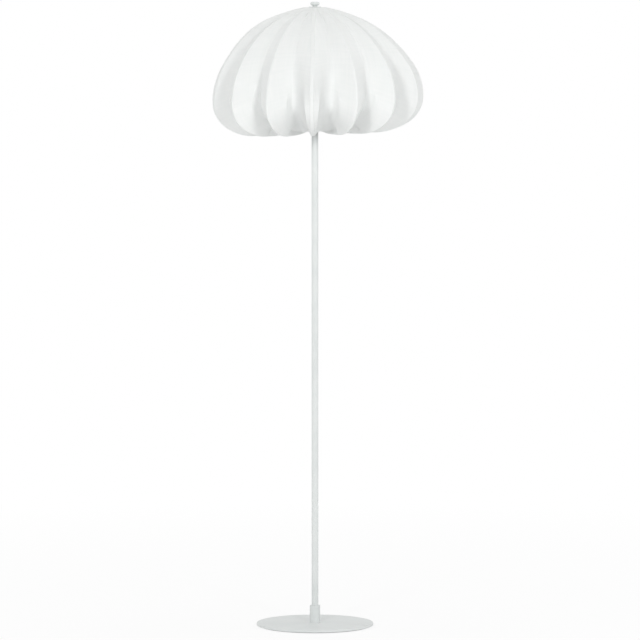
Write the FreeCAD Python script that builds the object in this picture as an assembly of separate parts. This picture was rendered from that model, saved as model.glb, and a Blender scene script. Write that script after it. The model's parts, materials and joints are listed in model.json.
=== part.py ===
import FreeCAD, Part
import math
import os

# Mushroom floor lamp, standing on Z = 0 with its pole on the Z axis. Millimetres, +Z up.
# The front, where the shade's closing seam is, looks along -Y.

vec = FreeCAD.Vector
UP = vec(0, 0, 1)

# Clearances
fit_gap = 0.05            # radial gap of a piece that seats in another
turn_gap = 0.2            # under a piece that turns or lifts
running_gap = 0.08        # radial gap of a piece that turns on another
cloth_gap = 0.3           # between the cloth and the wires inside it

# Base
pad_radius = 134.0
pad_height = 2.0
plate_radius = 140.0
plate_thickness = 5.0
plate_edge_ease = 0.8
base_screw_radius = 4.0
base_screw_head_radius = 7.5
base_screw_head_rim = 0.6
base_screw_grip = 9.0     # how far the screw reaches into the collar
base_screw_key = 5.0

# Collar that holds the pole
collar_radius = 12.5
collar_height = 42.0
collar_edge_ease = 0.8
collar_floor = 13.0
collar_cavity_radius = 6.5
cable_room_height = 10.0
cable_hole_radius = 4.0
cable_radius = 3.0        # the lead that the grommet is made for
grommet_play = 0.1
grommet_flange_radius = 5.8
grommet_flange_height = 1.6
collar_spot_depth = 0.9   # flat spot for the grommet's flange
set_screw_radius = 2.0
set_screw_height = 9.0    # above the pole's lower end
set_screw_key = 2.0
set_screw_recess = 0.3

# Pole
pole_radius = 8.0
pole_wall = 1.2
lower_pole_length = 564.0
upper_pole_length = 628.0
insert_length = 22.0
nipple_radius = 5.0
nipple_bore_radius = 3.5
joint_nipple_grip = 14.0
plug_flange = 2.0
plug_length = 18.0
plug_grip = 14.0

# Saddle and harp
saddle_half_span = 28.0
saddle_width = 12.0
saddle_thickness = 2.0
saddle_boss_radius = 10.0
post_radius = 2.0
post_height = 10.0
nut_across_flats = 14.0
nut_height = 3.0
foot_radius = 3.2
foot_height = 16.0
foot_wire_grip = 5.0
sleeve_wall = 1.3
sleeve_height = 14.0
harp_width = 4.0
harp_thickness = 2.0
harp_straight_leg = 14.0
harp_half_width = 43.0
harp_shoulder_rise = 60.0
harp_side_length = 50.0
harp_height = 242.0       # from the saddle to the wire's crown
harp_crown_half = 8.0
boss_radius = 6.5
boss_below_wire = 4.5
boss_above_wire = 9.0
boss_flange_radius = 9.0
boss_flange_height = 2.0
stud_radius = 3.0
stud_grip = 6.5           # thread inside the finial

# Lamp holder
cap_neck_radius = 11.0
cap_radius = 19.5
cap_height = 22.0
holder_wall = 1.5
cap_seat_depth = 5.0
cap_screw_radius = 1.5
cap_screw_height = 5.0
insulator_radius = 17.0
insulator_height = 9.0
contact_width = 5.0
contact_thickness = 0.6
contact_rise = 4.6
contact_reach = 9.0
wire_hole_radius = 1.5
wire_hole_offset = 6.0
shell_height = 38.0
shell_mouth_radius = 15.5
shell_lip = 2.0
thread_shell_wall = 0.6
thread_shell_height = 26.0

# Bulb
bulb_cap_radius = 13.2
bulb_cap_height = 23.0
bulb_cap_wall = 0.6
bulb_insulator_radius = 9.0
bulb_insulator_height = 2.6
bulb_contact_radius = 4.5
bulb_contact_height = 1.4
bulb_globe_radius = 30.0
bulb_neck_radius = 13.0
bulb_neck_rise = 6.0
bulb_globe_rise = 49.0    # from the screw cap's rim to the globe's centre
bulb_flare_bulge = 2.5

# Shade
rib_count = 15
front_rib_turn = -1.6     # degrees from the front, positive towards +X
shade_radius = 259.0
shade_drop = 308.0        # from the flat crown to the ribs' lowest point
shade_widest_rise = 99.0  # widest point above the lowest
crown_radius = 26.0
crown_slope = -12.0
shoulder_radius = 178.0
shoulder_drop = 70.0
shoulder_slope = -41.5
belly_radius = 125.0      # where the ribs are lowest
mouth_rib_radius = 50.0
mouth_rise = 14.0         # mouth above the lowest point
mouth_slope = 170.0
mouth_radius = 47.0       # clear opening in the cloth round the pole
valley_shoulder_radius = 163.0
valley_shoulder_drop = 76.0
valley_shoulder_slope = -45.0
valley_radius = 208.0
valley_rise = 116.0       # deepest valley's widest point above the lowest
tuck_radius = 122.0
tuck_rise = 38.0
tuck_slope = 203.0
valley_mouth_slope = 190.0
valley_flank = 0.72       # share of a gore's flank that is straight
cloth_thickness = 1.6
tape_half_width = 2.6
seam_tape_half_width = 4.0
floor_depth = 0.35        # how far the valley's floor reaches towards a sharp valley
bands_per_arc = (2, 2, 2, 1)
rib_width = 3.0
rib_thickness = 1.4
rib_start_radius = 16.0
seam_rib_width = 2.2
seam_rib_gap = 0.6
hub_rim_inset = 1.2       # hub's rim inside the bend of the ribs
hub_thickness = 2.0
ring_radius = 50.5
ring_wall = 3.5
ring_height = 1.5
ring_lift = 3.6           # ring's lower face above the mouth
washer_radius = 15.0
washer_thickness = 1.2

# Finial
finial_radius = 11.0
finial_height = 11.4
finial_under_bulge = 1.0
finial_crown_bulge = 2.0
finial_neck_radius = 6.0
finial_neck_height = 2.6
finial_insert_radius = 4.4
finial_insert_height = 7.5

# Heights that follow from the sizes above
plate_top = pad_height + plate_thickness
pole_foot = plate_top + collar_floor + cable_room_height
cable_height = plate_top + collar_floor + cable_room_height / 2
pole_joint = pole_foot + lower_pole_length
pole_top = pole_joint + upper_pole_length
saddle_foot = pole_top + plug_flange
saddle_top = saddle_foot + saddle_thickness
cap_foot = saddle_top + nut_height
cap_top = cap_foot + cap_height
insulator_foot = cap_top - cap_seat_depth
insulator_top = insulator_foot + insulator_height
contact_top = insulator_top + contact_rise
bulb_foot = contact_top + turn_gap
bulb_cap_foot = bulb_foot + bulb_contact_height + bulb_insulator_height
bulb_cap_top = bulb_cap_foot + bulb_cap_height
shell_top = cap_top + shell_height
harp_crown = saddle_top + harp_height
boss_top = harp_crown + boss_above_wire
hub_foot = boss_top + turn_gap
hub_top = hub_foot + hub_thickness
crown_top = hub_top + rib_thickness + cloth_gap + cloth_thickness
shade_foot = crown_top - shade_drop
mouth_height = shade_foot + mouth_rise
washer_foot = crown_top + cloth_gap
washer_top = washer_foot + washer_thickness
finial_foot = washer_top + turn_gap
pole_bore_radius = pole_radius - pole_wall
collar_seat_radius = pole_radius + fit_gap
gore_angle = 360.0 / rib_count


def cylinder(radius, low, high):
    return Part.makeCylinder(radius, high - low, vec(0, 0, low))


def tube(outer, inner, low, high):
    return cylinder(outer, low, high).cut(cylinder(inner, low, high))


def hexagon(across_flats, low, high):
    corner = across_flats / math.sqrt(3)
    points = [vec(corner * math.cos(math.radians(60 * i)), corner * math.sin(math.radians(60 * i)), low)
              for i in range(7)]
    return Part.Face(Part.makePolygon(points)).extrude(vec(0, 0, high - low))


def laid_to_rear(shape, height):
    """Turn a shape modelled along +Z so that it points along +Y at the given height."""
    moved = shape.copy()
    moved.rotate(vec(0, 0, 0), vec(1, 0, 0), -90)
    moved.translate(vec(0, 0, height))
    return moved


def turned_about_pole(shape, angle):
    moved = shape.copy()
    moved.rotate(vec(0, 0, 0), UP, angle)
    return moved


def turned(corners):
    """Solid of revolution about the pole from the (radius, height) corners of its half section."""
    points = [vec(radius, 0, height) for radius, height in corners]
    face = Part.Face(Part.makePolygon(points + points[:1]))
    return face.revolve(vec(0, 0, 0), UP, 360)


def bow(start, end, bulge, steps):
    """Corners along an arc from start to end that stands out from its chord by bulge."""
    chord = vec(end[0] - start[0], 0, end[1] - start[1])
    side = vec(chord.z, 0, -chord.x)
    side.normalize()
    first = vec(start[0], 0, start[1])
    last = vec(end[0], 0, end[1])
    arc = Part.Arc(first, (first + last) * 0.5 + side * bulge, last).toShape()
    return [(point.x, point.z) for point in arc.discretize(Number=steps + 1)]


def eased_rims(solid, size, heights):
    """Chamfer the circular edges that lie at the given heights."""
    rims = []
    for edge in solid.Edges:
        box = edge.BoundBox
        if box.ZLength < 0.001 and any(abs(box.ZMin - height) < 0.001 for height in heights):
            rims.append(edge)
    return solid.makeChamfer(size, rims)


# Curves in the plane of the pole: tangent arcs through nodes of (radius, height, direction)

def direction(angle):
    return vec(math.cos(math.radians(angle)), 0, math.sin(math.radians(angle)))


def arc_points(start, heading, end):
    """Start, middle and end of the arc that leaves start along heading and reaches end."""
    side = vec(-heading.z, 0, heading.x)
    chord = end.sub(start)
    lean = side.dot(chord)
    if abs(lean) < 0.000001:
        return start, (start + end) * 0.5, end
    radius = chord.dot(chord) / (2 * lean)
    centre = start + side * radius
    out = (start + end) * 0.5 - centre
    out.normalize()
    return start, centre + out * abs(radius), end


def tangent_arcs(nodes):
    """Two tangent arcs between each pair of nodes."""
    arcs = []
    for first, second in zip(nodes, nodes[1:]):
        start = vec(first[0], 0, first[1])
        end = vec(second[0], 0, second[1])
        leave = direction(first[2])
        arrive = direction(second[2])
        span = end.sub(start)
        along = span.dot(leave + arrive)
        spread = 2 * (1 - leave.dot(arrive))
        if spread < 0.000001:
            reach = span.dot(span) / (4 * span.dot(arrive))
        else:
            reach = (math.sqrt(along * along + spread * span.dot(span)) - along) / spread
        knee = (start + end + (leave - arrive) * reach) * 0.5
        arcs.append(arc_points(start, leave, knee))
        back = arc_points(end, arrive * -1, knee)
        arcs.append((back[2], back[1], back[0]))
    return arcs


def path_edge(start, middle, end):
    """An arc, or a line where the three points lie in line."""
    if middle.distanceToLine(start, end.sub(start)) < 0.0001:
        return Part.LineSegment(start, end).toShape()
    return Part.Arc(start, middle, end).toShape()


def arc_normal(arc, point):
    """Unit vector from a point of an arc to the inner side, which is on the right of its travel."""
    edge = path_edge(*arc)
    heading = edge.tangentAt(edge.Curve.parameter(point))
    if heading.dot(arc[2].sub(arc[0])) < 0:
        heading = heading * -1
    return vec(heading.z, 0, -heading.x)


def inset_arcs(arcs, depth):
    """The same arcs moved inwards by depth."""
    return [tuple(point + arc_normal(arc, point) * depth for point in arc) for arc in arcs]


# Base and collar

def base_pad():
    return cylinder(pad_radius, 0, pad_height)


def base_plate():
    plate = eased_rims(cylinder(plate_radius, pad_height, plate_top), plate_edge_ease, [plate_top])
    hole = cylinder(base_screw_radius + fit_gap, pad_height, plate_top)
    return plate.cut(hole).cut(screw_head(fit_gap))


def screw_head(gap):
    """Countersunk head with its flat face at the plate's underside."""
    rim = base_screw_head_radius + gap
    shank = base_screw_radius + gap
    rim_top = pad_height + base_screw_head_rim
    return turned([(0, pad_height), (rim, pad_height), (rim, rim_top),
                   (shank, rim_top + rim - shank), (0, rim_top + rim - shank)])


def base_screw():
    shank = cylinder(base_screw_radius, pad_height + base_screw_head_rim, plate_top + base_screw_grip)
    socket = hexagon(base_screw_key, pad_height, pad_height + base_screw_head_rim + base_screw_key / 2)
    return screw_head(0).fuse(shank).removeSplitter().cut(socket)


def base_collar():
    top = plate_top + collar_height
    body = eased_rims(cylinder(collar_radius, plate_top, top), collar_edge_ease, [top])
    cavity = cylinder(collar_cavity_radius, plate_top + collar_floor, top)
    seat = cylinder(collar_seat_radius, pole_foot, top)
    thread = cylinder(base_screw_radius + fit_gap, plate_top, plate_top + collar_floor)
    cable_hole = laid_to_rear(cylinder(cable_hole_radius, 0, collar_radius), cable_height)
    spot = collar_radius - collar_spot_depth
    flat_spot = laid_to_rear(cylinder(grommet_flange_radius + fit_gap, spot, collar_radius), cable_height)
    screw_hole = laid_to_rear(cylinder(set_screw_radius + fit_gap, 0, collar_radius),
                              pole_foot + set_screw_height)
    for hollow in (cavity, seat, thread, cable_hole, flat_spot, screw_hole):
        body = body.cut(hollow)
    return body


def cable_grommet():
    spot = collar_radius - collar_spot_depth
    bush = cylinder(cable_hole_radius - fit_gap, collar_cavity_radius, spot)
    flange = cylinder(grommet_flange_radius, spot, spot + grommet_flange_height)
    bore = cylinder(cable_radius + grommet_play, collar_cavity_radius, spot + grommet_flange_height)
    return laid_to_rear(bush.fuse(flange).removeSplitter().cut(bore), cable_height)


def pole_set_screw():
    tip = pole_radius + fit_gap
    outer = collar_radius - set_screw_recess
    screw = cylinder(set_screw_radius, tip, outer)
    socket = hexagon(set_screw_key, outer - set_screw_key, outer)
    return laid_to_rear(screw.cut(socket), pole_foot + set_screw_height)


# Pole

def lower_pole():
    return tube(pole_radius, pole_bore_radius, pole_foot, pole_joint)


def upper_pole():
    return tube(pole_radius, pole_bore_radius, pole_joint, pole_top)


def threaded_insert(low, high):
    return tube(pole_bore_radius - fit_gap, nipple_radius + fit_gap, low, high)


def lower_pole_insert():
    return threaded_insert(pole_joint - insert_length, pole_joint)


def upper_pole_insert():
    return threaded_insert(pole_joint, pole_joint + insert_length)


def pole_joint_nipple():
    return tube(nipple_radius, nipple_bore_radius, pole_joint - joint_nipple_grip,
                pole_joint + joint_nipple_grip)


def pole_top_plug():
    flange = cylinder(pole_radius, pole_top, saddle_foot)
    stem = cylinder(pole_bore_radius - fit_gap, pole_top - plug_length, pole_top)
    bore = cylinder(nipple_radius + fit_gap, pole_top - plug_length, saddle_foot)
    return flange.fuse(stem).removeSplitter().cut(bore)


def holder_nipple():
    return tube(nipple_radius, nipple_bore_radius, saddle_foot - plug_grip, cap_foot + cap_neck_radius)


# Saddle and harp

def harp_saddle():
    strip = Part.makeBox(2 * saddle_half_span, saddle_width, saddle_thickness,
                         vec(-saddle_half_span, -saddle_width / 2, saddle_foot))
    body = strip.fuse(cylinder(saddle_boss_radius, saddle_foot, saddle_top))
    for side in (-1, 1):
        place = vec(side * saddle_half_span, 0, saddle_foot)
        body = body.fuse(Part.makeCylinder(saddle_width / 2, saddle_thickness, place))
        body = body.fuse(Part.makeCylinder(post_radius, saddle_thickness + post_height, place))
    return body.removeSplitter().cut(cylinder(nipple_radius + fit_gap, saddle_foot, saddle_top))


def saddle_nut():
    return hexagon(nut_across_flats, saddle_top, cap_foot).cut(
        cylinder(nipple_radius + fit_gap, saddle_top, cap_foot))


def harp_foot(side):
    top = saddle_top + foot_height
    foot = cylinder(foot_radius, saddle_top, top)
    foot = foot.cut(cylinder(post_radius + fit_gap, saddle_top, saddle_top + post_height + fit_gap))
    slot = [harp_thickness + 2 * fit_gap, harp_width + 2 * fit_gap]
    foot = foot.cut(Part.makeBox(slot[0], slot[1], foot_wire_grip,
                                 vec(-slot[0] / 2, -slot[1] / 2, top - foot_wire_grip)))
    foot.translate(vec(side * saddle_half_span, 0, 0))
    return foot


def harp_feet():
    return Part.makeCompound([harp_foot(-1), harp_foot(1)])


def harp_sleeve(side):
    inner = foot_radius + fit_gap
    outer = inner + sleeve_wall
    low = saddle_top + turn_gap
    sleeve = tube(outer, inner, low, low + sleeve_height)
    sleeve.translate(vec(side * saddle_half_span, 0, 0))
    return sleeve


def harp_side_arcs():
    """Right half of the harp, from its foot to the crown."""
    foot_end = saddle_top + foot_height - foot_wire_grip + fit_gap
    leg_top = saddle_top + foot_height + harp_straight_leg
    shoulder = leg_top + harp_shoulder_rise
    side_top = shoulder + harp_side_length
    leg = (saddle_half_span, leg_top, 90)
    wide_low = (harp_half_width, shoulder, 90)
    wide_high = (harp_half_width, side_top, 90)
    crown = (harp_crown_half, harp_crown, 180)
    straight = arc_points(vec(saddle_half_span, 0, foot_end), UP, vec(saddle_half_span, 0, leg_top))
    side = arc_points(vec(harp_half_width, 0, shoulder), UP, vec(harp_half_width, 0, side_top))
    return [straight] + tangent_arcs([leg, wide_low]) + [side] + tangent_arcs([wide_high, crown])


def mirrored_arcs(arcs):
    return [tuple(vec(-point.x, 0, point.z) for point in reversed(arc)) for arc in reversed(arcs)]


def harp():
    """Bent strip: the right half's arcs, the straight crown and the left half's, given a thickness."""
    right = harp_side_arcs()
    crown = arc_points(vec(harp_crown_half, 0, harp_crown), vec(-1, 0, 0), vec(-harp_crown_half, 0, harp_crown))
    middle = right + [crown] + mirrored_arcs(right)
    outer = inset_arcs(middle, harp_thickness / 2)
    inner = inset_arcs(middle, -harp_thickness / 2)
    ends = [Part.LineSegment(outer[-1][2], inner[-1][2]).toShape(),
            Part.LineSegment(inner[0][0], outer[0][0]).toShape()]
    edges = [path_edge(*arc) for arc in outer] + [ends[0]] + [path_edge(*arc) for arc in inner] + [ends[1]]
    side = Part.Face(Part.Wire(Part.__sortEdges__(edges)))
    return side.extrude(vec(0, harp_width, 0)).translated(vec(0, -harp_width / 2, 0))


def harp_top_stud():
    """Turned block on the harp's crown with the stud that the shade hangs on."""
    body = cylinder(boss_radius, harp_crown - boss_below_wire, boss_top)
    body = body.fuse(cylinder(boss_flange_radius, boss_top - boss_flange_height, boss_top))
    body = body.fuse(cylinder(stud_radius, boss_top, finial_foot + stud_grip)).removeSplitter()
    slot_height = harp_thickness + 2 * fit_gap
    slot_width = harp_width + 2 * fit_gap
    cross_slot = Part.makeBox(2 * boss_flange_radius, slot_width, slot_height,
                              vec(-boss_flange_radius, -slot_width / 2, harp_crown - slot_height / 2))
    return body.cut(cross_slot)


# Lamp holder

def holder_cap():
    """Cup with a threaded neck and a sloping side between the neck and the rim."""
    rim_foot = cap_top - cap_seat_depth
    neck_top = (cap_neck_radius, rim_foot - cap_radius + cap_neck_radius)
    inner_rim = cap_radius - holder_wall
    neck_inner = cap_neck_radius - holder_wall
    nipple_hole = nipple_radius + fit_gap
    hollow_foot = cap_foot + cap_neck_radius + fit_gap
    body = turned([(nipple_hole, cap_foot), (cap_neck_radius, cap_foot), neck_top, (cap_radius, rim_foot),
                   (cap_radius, cap_top), (inner_rim, cap_top), (inner_rim, rim_foot),
                   (neck_inner, rim_foot), (neck_inner, hollow_foot), (nipple_hole, hollow_foot)])
    screw_hole = laid_to_rear(cylinder(cap_screw_radius + fit_gap, 0, cap_neck_radius),
                              cap_foot + cap_screw_height)
    return body.cut(screw_hole)


def holder_cap_screw():
    return laid_to_rear(cylinder(cap_screw_radius, nipple_radius + fit_gap, cap_neck_radius),
                        cap_foot + cap_screw_height)


def holder_insulator():
    """Ceramic disc that carries the contacts and centres the threaded shell."""
    body = cylinder(insulator_radius, insulator_foot, insulator_top)
    for x in (-wire_hole_offset, wire_hole_offset):
        wire_hole = Part.makeCylinder(wire_hole_radius, insulator_height, vec(x, 0, insulator_foot))
        body = body.cut(wire_hole)
    return body


def contact_leaf(reach, rise):
    """Sprung brass strip: a foot on the insulator, a slope and a raised pad at the middle."""
    pad = bulb_contact_radius / 2
    top = insulator_top + rise
    points = [(-pad, top), (pad, top), (reach * 0.5, insulator_top + contact_thickness),
              (reach, insulator_top + contact_thickness), (reach, insulator_top),
              (reach * 0.5 - contact_thickness, insulator_top),
              (pad - contact_thickness / 2, top - contact_thickness),
              (-pad, top - contact_thickness)]
    corners = [vec(x, 0, height) for x, height in points]
    face = Part.Face(Part.makePolygon(corners + corners[:1]))
    return face.extrude(vec(0, contact_width, 0)).translated(vec(0, -contact_width / 2, 0))


def holder_centre_contact():
    return turned_about_pole(contact_leaf(contact_reach, contact_rise), 90)


def holder_thread_shell():
    inner = bulb_cap_radius + running_gap
    return tube(inner + thread_shell_wall, inner, insulator_top, insulator_top + thread_shell_height)


def holder_shell():
    """Outer shell on the cap's rim, with a lip that keeps fingers off the threaded shell."""
    inner = cap_radius - holder_wall
    shell = tube(cap_radius, inner, cap_top, shell_top)
    lip = tube(cap_radius, shell_mouth_radius, shell_top - shell_lip, shell_top)
    spigot = tube(inner - fit_gap, insulator_radius + fit_gap, cap_top - cap_seat_depth, cap_top)
    shoulder = tube(cap_radius, insulator_radius + fit_gap, cap_top, cap_top + holder_wall)
    return shell.fuse([lip, spigot, shoulder]).removeSplitter()


# Bulb

def bulb_contact():
    return cylinder(bulb_contact_radius, bulb_foot, bulb_foot + bulb_contact_height)


def bulb_insulator():
    low = bulb_foot + bulb_contact_height
    return cylinder(bulb_insulator_radius, low, low + bulb_insulator_height)


def bulb_screw_cap():
    inside = cylinder(bulb_cap_radius - bulb_cap_wall, bulb_cap_foot + bulb_cap_wall, bulb_cap_top)
    return cylinder(bulb_cap_radius, bulb_cap_foot, bulb_cap_top).cut(inside)


def bulb_glass():
    """Closed envelope: a neck in the screw cap, a flare and a globe."""
    low = bulb_cap_foot + bulb_cap_wall
    neck = bulb_neck_radius - bulb_cap_wall
    neck_top = (neck, bulb_cap_top + bulb_neck_rise)
    waist = (neck + (bulb_globe_radius - neck) * 0.5, bulb_cap_top + bulb_globe_rise - bulb_globe_radius * 0.8)
    widest = (bulb_globe_radius, bulb_cap_top + bulb_globe_rise)
    top = (0, widest[1] + bulb_globe_radius)
    shoulder = bow(widest, top, bulb_globe_radius * (1 - math.sqrt(0.5)), 3)
    return turned([(0, low), (neck, low), neck_top] + bow(waist, widest, bulb_flare_bulge, 2) + shoulder[1:])


# Shade: flat steel ribs from a hub to a ring round the pole, and one sewn cloth over them

def rib_nodes():
    return [(crown_radius, crown_top, crown_slope),
            (shoulder_radius, crown_top - shoulder_drop, shoulder_slope),
            (shade_radius, shade_foot + shade_widest_rise, -90),
            (belly_radius, shade_foot, 180),
            (mouth_rib_radius, mouth_height, mouth_slope)]


def valley_nodes():
    half_gore = math.radians(gore_angle / 2)
    return [(crown_radius * math.cos(half_gore), crown_top, crown_slope),
            (valley_shoulder_radius, crown_top - valley_shoulder_drop, valley_shoulder_slope),
            (valley_radius, shade_foot + valley_rise, -90),
            (tuck_radius, shade_foot + tuck_rise, tuck_slope),
            (mouth_rib_radius * math.cos(half_gore), mouth_height, valley_mouth_slope)]


def stations(nodes, inset):
    """Points along a profile moved inwards by inset, from the crown to the mouth."""
    arcs = inset_arcs(tangent_arcs(nodes), inset)
    points = [arcs[0][0]]
    for index, arc in enumerate(arcs):
        bands = bands_per_arc[index // 2]
        points += path_edge(*arc).discretize(Number=bands + 1)[1:]
    return points


def rib_angle(index):
    """Angle about +Z from +X, so that rib 0 is the seam rib at the front."""
    return front_rib_turn - 90 + gore_angle * index


def gore_points(ridge, valley, index, inset):
    """Five points across one gore: tape corner, fold, valley floor, fold and tape corner."""
    here = (seam_tape_half_width if index == 0 else tape_half_width) - inset / 2
    ahead = (seam_tape_half_width if index == rib_count - 1 else tape_half_width) - inset / 2
    near = FreeCAD.Rotation(UP, rib_angle(index)).multVec(vec(ridge.x, here, ridge.z))
    far = FreeCAD.Rotation(UP, rib_angle(index + 1)).multVec(vec(ridge.x, -ahead, ridge.z))
    deep = FreeCAD.Rotation(UP, rib_angle(index + 0.5)).multVec(vec(valley.x, 0, valley.z))
    fold_in = near + (deep - near) * valley_flank
    fold_out = far + (deep - far) * valley_flank
    floor = (fold_in + fold_out) * 0.5 * (1 - floor_depth) + deep * floor_depth
    return [near, fold_in, floor, fold_out, far]


def cloth_levels(inset):
    """Closed rings of points, level at the crown and at the mouth."""
    ridges = stations(rib_nodes(), inset)
    valleys = stations(valley_nodes(), inset)
    valleys[0].z = ridges[0].z
    valleys[-1].z = ridges[-1].z
    levels = []
    for ridge, valley in zip(ridges, valleys):
        ring = []
        for index in range(rib_count):
            ring += gore_points(ridge, valley, index, inset)
        levels.append(ring)
    return levels


def cloth_form(inset):
    """Solid between flat crown and flat mouth, with flat triangles between the levels."""
    levels = cloth_levels(inset)
    faces = [Part.Face(Part.makePolygon(ring + ring[:1])) for ring in (levels[0], levels[-1])]
    for upper, lower in zip(levels, levels[1:]):
        for index in range(len(upper)):
            after = (index + 1) % len(upper)
            faces.append(Part.Face(Part.makePolygon([upper[index], lower[index], upper[after], upper[index]])))
            faces.append(Part.Face(Part.makePolygon([lower[index], lower[after], upper[after], lower[index]])))
    solid = Part.Solid(Part.makeShell(faces))
    if solid.Volume < 0:
        solid.reverse()
    return solid


def shade_cloth():
    body = cloth_form(0).cut(cloth_form(cloth_thickness))
    body = body.cut(cylinder(stud_radius + cloth_gap, mouth_height, washer_foot))
    return body.cut(cylinder(mouth_radius, shade_foot, mouth_height + 2 * cloth_thickness))


def rib_strip(width):
    """Flat strip under the cloth's tape, from the hub's top face to the mouth."""
    outer_inset = cloth_thickness + cloth_gap
    outer = stations(rib_nodes(), outer_inset)
    inner = stations(rib_nodes(), outer_inset + rib_thickness)
    outer[0].z = hub_top + rib_thickness
    inner[0].z = hub_top
    lead = [vec(rib_start_radius, 0, hub_top), vec(rib_start_radius, 0, hub_top + rib_thickness)]
    side = Part.Face(Part.makePolygon(lead + outer + inner[::-1] + lead[:1]))
    return side.extrude(vec(0, width, 0)).translated(vec(0, -width / 2, 0))


def shade_rib(index):
    return turned_about_pole(rib_strip(rib_width), rib_angle(index))


def seam_rib():
    """Two narrow strips side by side, one for each closing edge of the cloth."""
    strips = []
    for side in (-1, 1):
        strip = rib_strip(seam_rib_width)
        strip.translate(vec(0, side * (seam_rib_width + seam_rib_gap) / 2, 0))
        strips.append(turned_about_pole(strip, rib_angle(0)))
    return Part.makeCompound(strips)


def shade_hub():
    return tube(crown_radius - hub_rim_inset, stud_radius + running_gap, hub_foot, hub_top)


def mouth_ring():
    """Flat ring with a straight run from rib to rib, which the ribs' lower ends are welded under."""
    low = mouth_height + ring_lift
    rims = []
    for radius in (ring_radius, ring_radius + ring_wall):
        points = [FreeCAD.Rotation(UP, rib_angle(index)).multVec(vec(radius, 0, low)) for index in range(rib_count)]
        rims.append(Part.Face(Part.makePolygon(points + points[:1])))
    return rims[1].cut(rims[0]).extrude(vec(0, 0, ring_height))


def clamp_washer():
    return tube(washer_radius, stud_radius + running_gap, washer_foot, washer_top)


def finial():
    """Round knob on a short neck, with a blind hole for the threaded insert."""
    neck_top = finial_foot + finial_neck_height
    top = finial_foot + finial_height
    rim = (neck_top + top) / 2
    under = bow((finial_neck_radius, neck_top), (finial_radius, rim), finial_under_bulge, 2)
    over = bow((finial_radius, rim), (0, top), finial_crown_bulge, 3)
    body = turned([(0, finial_foot), (finial_neck_radius, finial_foot)] + under + over[1:])
    return body.cut(cylinder(finial_insert_radius, finial_foot, finial_foot + finial_insert_height))


def finial_insert():
    return tube(finial_insert_radius - fit_gap, stud_radius + running_gap, finial_foot,
                finial_foot + finial_insert_height)


def build():
    parts = {
        "base_pad": base_pad(),
        "base_plate": base_plate(),
        "base_screw": base_screw(),
        "base_collar": base_collar(),
        "cable_grommet": cable_grommet(),
        "pole_set_screw": pole_set_screw(),
        "lower_pole": lower_pole(),
        "lower_pole_insert": lower_pole_insert(),
        "pole_joint_nipple": pole_joint_nipple(),
        "upper_pole_insert": upper_pole_insert(),
        "upper_pole": upper_pole(),
        "pole_top_plug": pole_top_plug(),
        "holder_nipple": holder_nipple(),
        "harp_saddle": harp_saddle(),
        "saddle_nut": saddle_nut(),
        "harp_feet": harp_feet(),
        "harp": harp(),
        "harp_top_stud": harp_top_stud(),
        "harp_sleeve_left": harp_sleeve(-1),
        "harp_sleeve_right": harp_sleeve(1),
        "holder_cap": holder_cap(),
        "holder_cap_screw": holder_cap_screw(),
        "holder_insulator": holder_insulator(),
        "holder_centre_contact": holder_centre_contact(),
        "holder_thread_shell": holder_thread_shell(),
        "holder_shell": holder_shell(),
        "bulb_contact": bulb_contact(),
        "bulb_insulator": bulb_insulator(),
        "bulb_screw_cap": bulb_screw_cap(),
        "bulb_glass": bulb_glass(),
        "shade_cloth": shade_cloth(),
        "shade_hub": shade_hub(),
        "seam_rib": seam_rib(),
        "mouth_ring": mouth_ring(),
        "clamp_washer": clamp_washer(),
        "finial": finial(),
        "finial_insert": finial_insert(),
    }
    for index in range(1, rib_count):
        parts["shade_rib_%02d" % index] = shade_rib(index)
    return parts


os.makedirs("parts", exist_ok=True)
for name, shape in build().items():
    shape.exportStep("parts/%s.step" % name)
    print(name, shape.isValid(), len(shape.Solids), round(shape.Volume), len(shape.Faces))
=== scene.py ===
import json
import math
import bpy
import bmesh
import numpy as np
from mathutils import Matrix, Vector


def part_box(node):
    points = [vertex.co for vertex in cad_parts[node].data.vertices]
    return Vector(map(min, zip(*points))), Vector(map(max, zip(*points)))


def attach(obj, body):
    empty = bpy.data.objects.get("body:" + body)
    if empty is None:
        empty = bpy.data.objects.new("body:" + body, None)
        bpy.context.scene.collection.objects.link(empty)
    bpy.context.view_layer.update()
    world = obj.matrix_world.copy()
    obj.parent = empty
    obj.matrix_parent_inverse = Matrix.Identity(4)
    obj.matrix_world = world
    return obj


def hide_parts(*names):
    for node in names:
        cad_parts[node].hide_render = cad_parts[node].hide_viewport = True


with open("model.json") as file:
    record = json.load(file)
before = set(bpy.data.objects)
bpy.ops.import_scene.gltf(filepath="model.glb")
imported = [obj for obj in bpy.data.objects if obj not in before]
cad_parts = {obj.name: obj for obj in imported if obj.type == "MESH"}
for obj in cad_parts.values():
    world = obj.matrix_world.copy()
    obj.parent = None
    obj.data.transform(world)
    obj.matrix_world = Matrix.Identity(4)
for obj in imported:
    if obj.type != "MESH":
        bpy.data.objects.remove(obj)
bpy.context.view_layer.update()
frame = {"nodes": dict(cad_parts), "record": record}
mm = 0.001


def hexToLinear(code):
    # sRGB hex to linear light: a straight line at the dark end, a 2.4 power above it
    parts = np.array([int(code[i:i + 2], 16) / 255 for i in (0, 2, 4)])
    return tuple(np.where(parts <= 0.04045, parts / 12.92, ((parts + 0.055) / 1.055) ** 2.4)) + (1.0,)


def addNode(tree, kind, inputs=None, **settings):
    # one node with its settings; each input is a value or another node's output
    node = tree.nodes.new(kind)
    for name, value in settings.items():
        setattr(node, name, value)
    for name, value in (inputs or {}).items():
        if isinstance(value, bpy.types.NodeSocket):
            tree.links.new(value, node.inputs[name])
        else:
            node.inputs[name].default_value = value
    return node


def newMaterial(name):
    material = bpy.data.materials.new(name)
    material.use_nodes = True
    material.node_tree.nodes.clear()
    return material, material.node_tree


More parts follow.
